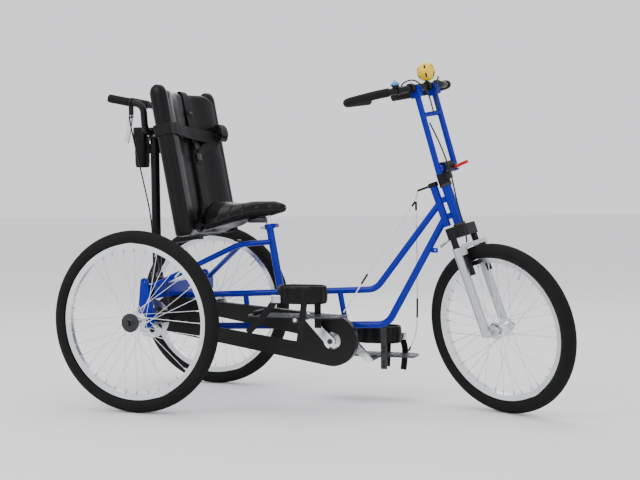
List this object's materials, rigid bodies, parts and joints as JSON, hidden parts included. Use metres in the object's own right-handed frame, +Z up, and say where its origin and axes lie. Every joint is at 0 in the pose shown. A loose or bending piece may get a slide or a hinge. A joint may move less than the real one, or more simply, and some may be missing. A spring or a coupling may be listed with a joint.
{
  "type": "adult tricycle",
  "caption": "Adult tricycle with step-through frame, steered suspension fork, chain-driven rear axle, strap-in foot platforms, high padded backrest and push handle.",
  "frame": {"origin": "on the ground, under the middle of the tricycle's outline", "axes": "+X forward, +Y to the rider's left, +Z up"},
  "size_m": [1.7187, 0.74, 1.1449],
  "materials": {
    "frame_paint": "glossy royal blue",
    "black_paint": "satin black",
    "steel": "plain",
    "alloy": "polished",
    "dark_steel": "dark",
    "tyre_rubber": "ribbed",
    "foam": "foam",
    "black_plastic": "satin",
    "dark_plastic": "smooth",
    "vinyl": "glossy vinyl",
    "webbing": "woven strap",
    "white_cord": "braided elastic",
    "yellow_plastic": "glossy",
    "red_plastic": "glossy",
    "cable_cover": "extruded"
  },
  "bodies": {
    "frame": {"upper_tube": "frame_paint", "lower_tube": "frame_paint", "head_tube": "frame_paint", "seat_tube": "frame_paint", "frame_struts": "frame_paint", "rear_stays": "frame_paint", "axle_carrier": "frame_paint", "bearing_cups": "dark_steel", "chain_case": "black_plastic", "chain": "dark_steel", "brake_calipers": "black_paint", "rear_brake_cable": "cable_cover", "return_spring": "steel", "toe_cords": "white_cord", "mast_hook": "black_plastic", "push_post": "black_paint", "push_handle": "black_paint", "push_grips": "foam", "pouch": "webbing", "backrest_shell": "black_plastic", "backrest_pad": "vinyl", "backrest_bracket": "black_paint", "harness": "webbing"},
    "park_lever": {"park_lever": "alloy"},
    "seat": {"seatpost": "alloy", "saddle": "vinyl"},
    "seat_lever": {"seat_lever": "red_plastic"},
    "right_wheel": {"right_tyre": "tyre_rubber", "right_rim": "alloy", "right_spokes": "alloy", "right_hub": "alloy"},
    "left_wheel": {"left_tyre": "tyre_rubber", "left_rim": "alloy", "left_spokes": "alloy", "left_hub": "alloy"},
    "drive": {"differential": "dark_steel"},
    "cranks": {"crank_right": "alloy", "crank_left": "alloy", "chainring": "alloy"},
    "right_pedal": {"foot_plate_right": "dark_plastic", "ankle_cuff_right": "vinyl"},
    "left_pedal": {"foot_plate_left": "dark_plastic", "ankle_cuff_left": "vinyl"},
    "steering": {"fork_crown": "black_paint", "stem": "black_paint", "front_brake_cable": "cable_cover"},
    "riser_lever": {"riser_lever": "red_plastic"},
    "fork_slider": {"fork_lowers": "alloy"},
    "brake_arm_right": {"v_brake_right": "black_paint"},
    "brake_arm_left": {"v_brake_left": "black_paint"},
    "front_wheel": {"front_tyre": "tyre_rubber", "front_rim": "alloy", "front_spokes": "alloy", "front_hub": "alloy"},
    "bars": {"riser": "frame_paint", "handlebar": "black_paint", "bar_grips": "foam", "bell_and_horn": "yellow_plastic"},
    "lever_right": {"bar_lever_right": "alloy"},
    "lever_left": {"bar_lever_left": "alloy"}
  },
  "joints": [
    {"name": "steering", "type": "hinge", "parent": "frame", "child": "steering", "pos_m": [0.58868, 0, 0.27117], "axis": [-0.3256, 0, 0.9455], "range_deg": [-10, 60], "deforming": ["return_spring", "front_brake_cable"]},
    {"name": "riser_tilt", "type": "hinge", "parent": "steering", "child": "bars", "pos_m": [0.43155, -0.01226, 0.8014], "axis": [0.4293, 0.891, 0.1478], "range_deg": [-12, 8]},
    {"name": "fork_travel", "type": "slide", "parent": "steering", "child": "fork_slider", "axis": [-0.3256, 0, 0.9455], "range_m": [0, 0.03], "stiffness_N_per_m": 12000, "springref_m": -0.006},
    {"name": "front_wheel_spin", "type": "hinge", "parent": "fork_slider", "child": "front_wheel", "pos_m": [0.60469, -0.00863, 0.27668], "axis": [0.4293, 0.891, 0.1478], "continuous": true},
    {"name": "brake_arm_right_swing", "type": "hinge", "parent": "fork_slider", "child": "brake_arm_right", "pos_m": [0.52024, -0.05096, 0.45913], "axis": [0.8425, -0.454, 0.2901], "range_deg": [-3.4, 0]},
    {"name": "brake_arm_left_swing", "type": "hinge", "parent": "fork_slider", "child": "brake_arm_left", "pos_m": [0.56059, 0.0328, 0.47302], "axis": [0.8425, -0.454, 0.2901], "range_deg": [0, 3.4]},
    {"name": "lever_right_squeeze", "type": "hinge", "parent": "bars", "child": "lever_right", "pos_m": [0.29347, -0.08957, 1.04604], "axis": [-0.1898, -0.071, 0.9793], "range_deg": [0, 14], "stiffness_Nm_per_rad": 1.6, "springref_deg": -8.59},
    {"name": "lever_left_squeeze", "type": "hinge", "parent": "bars", "child": "lever_left", "pos_m": [0.37246, 0.07437, 1.07324], "axis": [-0.1898, -0.071, 0.9793], "range_deg": [-14, 0], "stiffness_Nm_per_rad": 1.6, "springref_deg": 8.59},
    {"name": "crank_spin", "type": "hinge", "parent": "frame", "child": "cranks", "pos_m": [0.04865, 0, 0.228], "axis": [0, 1, 0], "continuous": true, "deforming": ["toe_cords"]},
    {"name": "axle_drive", "type": "hinge", "parent": "frame", "child": "drive", "pos_m": [-0.55635, 0, 0.303], "axis": [0, 1, 0], "continuous": true},
    {"name": "right_pedal_spin", "type": "hinge", "parent": "cranks", "child": "right_pedal", "pos_m": [-0.03267, -0.15, 0.30932], "axis": [0, 1, 0], "continuous": true},
    {"name": "left_pedal_spin", "type": "hinge", "parent": "cranks", "child": "left_pedal", "pos_m": [0.12996, 0.15, 0.14668], "axis": [0, 1, 0], "continuous": true},
    {"name": "right_wheel_spin", "type": "hinge", "parent": "frame", "child": "right_wheel", "pos_m": [-0.55635, -0.31, 0.303], "axis": [0, 1, 0], "continuous": true},
    {"name": "left_wheel_spin", "type": "hinge", "parent": "frame", "child": "left_wheel", "pos_m": [-0.55635, 0.31, 0.303], "axis": [0, 1, 0], "continuous": true},
    {"name": "park_lever_pull", "type": "hinge", "parent": "frame", "child": "park_lever", "pos_m": [-0.69135, -0.07, 1.003], "axis": [0, 1, 0], "range_deg": [0, 16], "stiffness_Nm_per_rad": 1.2, "springref_deg": -11.46},
    {"name": "seat_height", "type": "slide", "parent": "frame", "child": "seat", "axis": [-0.1736, 0, 0.9848], "range_m": [0, 0.08]},
    {"name": "seat_lever_swing", "type": "hinge", "parent": "frame", "child": "seat_lever", "pos_m": [-0.17755, 0.024, 0.61178], "axis": [-0.1736, 0, 0.9848], "range_deg": [-120, 0]},
    {"name": "riser_lever_swing", "type": "hinge", "parent": "steering", "child": "riser_lever", "pos_m": [0.46638, -0.00044, 0.80493], "axis": [0.4293, 0.891, 0.1478], "range_deg": [-60, 0]}
  ],
  "couplings": [
    {"joint": "axle_drive", "follows": "crank_spin", "ratio": 2},
    {"joint": "right_pedal_spin", "follows": "crank_spin", "ratio": -1},
    {"joint": "left_pedal_spin", "follows": "crank_spin", "ratio": -1},
    {"joint": "brake_arm_right_swing", "follows": "lever_right_squeeze", "ratio": -0.24276},
    {"joint": "brake_arm_left_swing", "follows": "lever_right_squeeze", "ratio": 0.24276}
  ]
}
